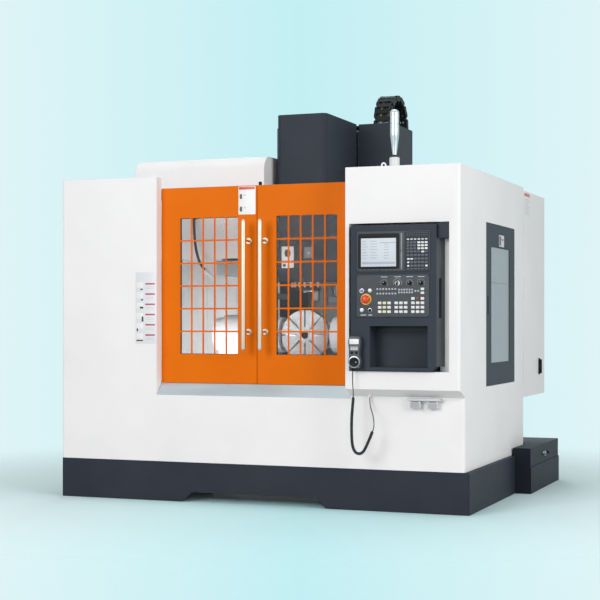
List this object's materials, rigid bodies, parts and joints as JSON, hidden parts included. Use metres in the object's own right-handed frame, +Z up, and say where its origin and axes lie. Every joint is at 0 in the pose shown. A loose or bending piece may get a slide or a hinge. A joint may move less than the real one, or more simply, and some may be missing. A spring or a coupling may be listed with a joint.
{
  "type": "cnc machining center",
  "caption": "Enclosed five-axis vertical machining centre with orange sliding doors, operator box, tool magazine, tilting rotary table and rear cabinet.",
  "frame": {"origin": "on the floor under the middle of the bed, in the plane where the sliding doors meet", "axes": "+X to the operator's right, +Y away from the operator, +Z up"},
  "size_m": [2.77, 2.3776, 2.6813],
  "materials": {
    "painted_white": "fine satin powder coat",
    "painted_dark": "fine textured powder coat",
    "painted_orange": "satin powder coat",
    "guard_sheet": "worn light-grey coating",
    "stainless": "horizontal brushing",
    "ground_steel": "ground",
    "cast": "machine-grey paint over casting",
    "black_plastic": "fine grain",
    "grey_plastic": "fine grain",
    "light_plastic": "satin",
    "red_plastic": "gloss",
    "screen_glass": "gloss",
    "pane_glass": "clear, laminated",
    "chrome_trim": "polished",
    "cord_rubber": "matt"
  },
  "bodies": {
    "machine_frame": {"bed": "cast", "base_plinth": "painted_dark", "column": "cast", "column_cover": "painted_dark", "front_enclosure": "painted_white", "left_side_panel": "painted_white", "right_side_panel": "painted_white", "rear_enclosure": "painted_white", "inner_guards": "guard_sheet", "door_rails": "ground_steel", "door_sill": "stainless", "magazine_cover": "painted_white", "magazine_housing": "guard_sheet", "operator_box": "painted_white", "operator_panel": "grey_plastic", "display_unit": "black_plastic", "display_screen": "screen_glass", "machine_panel": "black_plastic", "mpg_pendant": "black_plastic", "socket_plate": "light_plastic", "signal_lamp": "light_plastic", "electrical_cabinet": "painted_white", "coolant_tank": "painted_dark", "linear_guides": "ground_steel", "drag_chain": "black_plastic", "wash_hose": "cord_rubber", "mpg_coil": "cord_rubber", "mpg_lead_upper": "cord_rubber", "mpg_lead_lower": "cord_rubber"},
    "left_door": {"door_left": "painted_orange", "door_pane_left": "pane_glass", "door_handle_left": "black_plastic"},
    "right_door": {"door_right": "painted_orange", "door_pane_right": "pane_glass", "door_handle_right": "black_plastic"},
    "side_service_door": {"side_door": "painted_dark", "side_door_pane": "pane_glass"},
    "cabinet_front": {"cabinet_door": "painted_white"},
    "latch": {"cabinet_latch": "chrome_trim"},
    "y_carriage": {"saddle": "cast"},
    "x_carriage": {"work_table": "cast", "trunnion_frame": "cast"},
    "x_drive": {"x_screw": "ground_steel"},
    "y_drive": {"y_screw": "ground_steel"},
    "z_drive": {"z_screw": "ground_steel"},
    "cradle": {"tilt_cradle": "cast"},
    "table": {"rotary_table": "ground_steel"},
    "head": {"spindle_head": "cast", "head_cover": "painted_dark"},
    "main_spindle": {"spindle": "ground_steel"},
    "carousel": {"magazine_disc": "ground_steel"},
    "changer_hub": {"arm_hub": "ground_steel"},
    "changer_arm": {"tool_change_arm": "ground_steel"},
    "stop_button": {"e_stop_button": "red_plastic"},
    "key": {"key_switch": "chrome_trim"},
    "hand_wheel": {"mpg_wheel": "chrome_trim"},
    "knob_1": {"selector_1": "black_plastic"},
    "knob_2": {"selector_2": "black_plastic"},
    "knob_3": {"selector_3": "black_plastic"},
    "knob_4": {"selector_4": "black_plastic"}
  },
  "joints": [
    {"name": "left_door_slide", "type": "slide", "parent": "machine_frame", "child": "left_door", "axis": [-1, 0, 0], "range_m": [0, 0.55]},
    {"name": "right_door_slide", "type": "slide", "parent": "machine_frame", "child": "right_door", "axis": [1, 0, 0], "range_m": [0, 0.55]},
    {"name": "side_door_hinge", "type": "hinge", "parent": "machine_frame", "child": "side_service_door", "pos_m": [1.315, 0.18, 1.2], "axis": [0, 0, 1], "range_deg": [0, 100]},
    {"name": "cabinet_door_hinge", "type": "hinge", "parent": "machine_frame", "child": "cabinet_front", "pos_m": [1.315, 0.459, 1.29], "axis": [0, 0, -1], "range_deg": [0, 100]},
    {"name": "latch_turn", "type": "hinge", "parent": "cabinet_front", "child": "latch", "pos_m": [1.315, 0.935, 0.7925], "axis": [1, 0, 0], "range_deg": [0, 90]},
    {"name": "y_slide", "type": "slide", "parent": "machine_frame", "child": "y_carriage", "axis": [0, 1, 0], "range_m": [-0.3, 0.2]},
    {"name": "x_slide", "type": "slide", "parent": "y_carriage", "child": "x_carriage", "axis": [1, 0, 0], "range_m": [-0.4, 0.4]},
    {"name": "z_slide", "type": "slide", "parent": "machine_frame", "child": "head", "axis": [0, 0, 1], "range_m": [-0.1, 0.4], "deforming": ["drag_chain"]},
    {"name": "x_screw_turn", "type": "hinge", "parent": "y_carriage", "child": "x_drive", "pos_m": [0, -0.105, 0.612], "axis": [1, 0, 0], "range_deg": [-9010, 9010]},
    {"name": "y_screw_turn", "type": "hinge", "parent": "machine_frame", "child": "y_drive", "pos_m": [0, -0.26, 0.45], "axis": [0, 1, 0], "range_deg": [-6760, 4510]},
    {"name": "z_screw_turn", "type": "hinge", "parent": "machine_frame", "child": "z_drive", "pos_m": [0, 0.41, 1.82], "axis": [0, 0, 1], "range_deg": [-2260, 9010]},
    {"name": "a_tilt", "type": "hinge", "parent": "x_carriage", "child": "cradle", "pos_m": [0, -0.105, 1.016], "axis": [1, 0, 0], "range_deg": [-120, 30]},
    {"name": "c_turn", "type": "hinge", "parent": "cradle", "child": "table", "pos_m": [0, -0.175, 1.016], "axis": [0, -1, 0], "continuous": true},
    {"name": "spindle_turn", "type": "hinge", "parent": "head", "child": "main_spindle", "pos_m": [0, -0.105, 1.4], "axis": [0, 0, 1], "continuous": true},
    {"name": "magazine_turn", "type": "hinge", "parent": "machine_frame", "child": "carousel", "pos_m": [-0.69, -0.025, 1.84], "axis": [1, 0, 0], "continuous": true},
    {"name": "arm_turn", "type": "hinge", "parent": "machine_frame", "child": "changer_hub", "pos_m": [-0.262, -0.105, 1.45], "axis": [0, 0, 1], "range_deg": [0, 180]},
    {"name": "arm_drop", "type": "slide", "parent": "changer_hub", "child": "changer_arm", "axis": [0, 0, -1], "range_m": [0, 0.095]},
    {"name": "e_stop_press", "type": "slide", "parent": "machine_frame", "child": "stop_button", "axis": [0, 1, 0], "range_m": [0, 0.005], "stiffness_N_per_m": 2500},
    {"name": "key_turn", "type": "hinge", "parent": "machine_frame", "child": "key", "pos_m": [0.738, -1.205, 1.283], "axis": [0, 1, 0], "range_deg": [0, 90]},
    {"name": "hand_wheel_turn", "type": "hinge", "parent": "machine_frame", "child": "hand_wheel", "pos_m": [0.704, -1.247, 0.873], "axis": [0, 1, 0], "continuous": true},
    {"name": "selector_1_turn", "type": "hinge", "parent": "machine_frame", "child": "knob_1", "pos_m": [0.872, -1.21, 1.325], "axis": [0, 1, 0], "range_deg": [-120, 120]},
    {"name": "selector_2_turn", "type": "hinge", "parent": "machine_frame", "child": "knob_2", "pos_m": [0.952, -1.21, 1.325], "axis": [0, 1, 0], "range_deg": [-120, 120]},
    {"name": "selector_3_turn", "type": "hinge", "parent": "machine_frame", "child": "knob_3", "pos_m": [1.025, -1.21, 1.325], "axis": [0, 1, 0], "range_deg": [-120, 120]},
    {"name": "selector_4_turn", "type": "hinge", "parent": "machine_frame", "child": "knob_4", "pos_m": [1.092, -1.21, 1.325], "axis": [0, 1, 0], "range_deg": [-120, 120]}
  ],
  "couplings": [
    {"joint": "x_screw_turn", "follows": "x_slide", "rad_per_m": 392.7},
    {"joint": "y_screw_turn", "follows": "y_slide", "rad_per_m": 392.7},
    {"joint": "z_screw_turn", "follows": "z_slide", "rad_per_m": 392.7}
  ]
}
